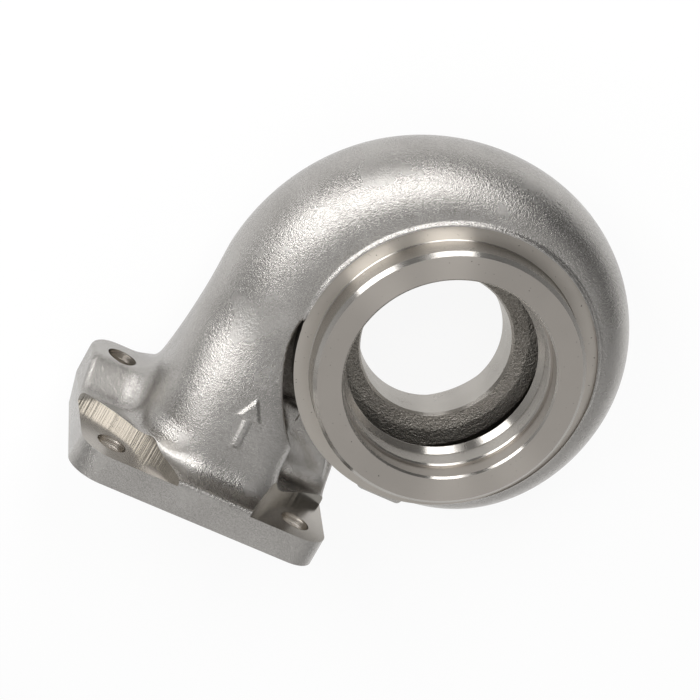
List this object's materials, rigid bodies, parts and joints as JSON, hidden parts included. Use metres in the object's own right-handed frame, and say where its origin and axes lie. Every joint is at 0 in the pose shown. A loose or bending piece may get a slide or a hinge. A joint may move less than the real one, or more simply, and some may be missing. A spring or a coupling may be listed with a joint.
{
  "type": "turbocharger turbine housing",
  "caption": "Cast turbine housing of a turbocharger: a snail-shaped scroll with a square inlet flange on a duct, a stepped bore for the centre housing and a round outlet rim.",
  "frame": {"origin": "on the turbine axis, at the outlet face, which is also the face the housing stands on", "axes": "+Z along the turbine axis towards the centre housing, -Y out of the inlet flange, X along the flange's long side"},
  "size_m": [0.2018, 0.1819, 0.0895],
  "materials": {
    "cast_stainless": "satin investment-cast stainless steel, with turned and milled faces"
  },
  "bodies": {
    "root": {"turbine_housing": "cast_stainless"}
  },
  "joints": []
}
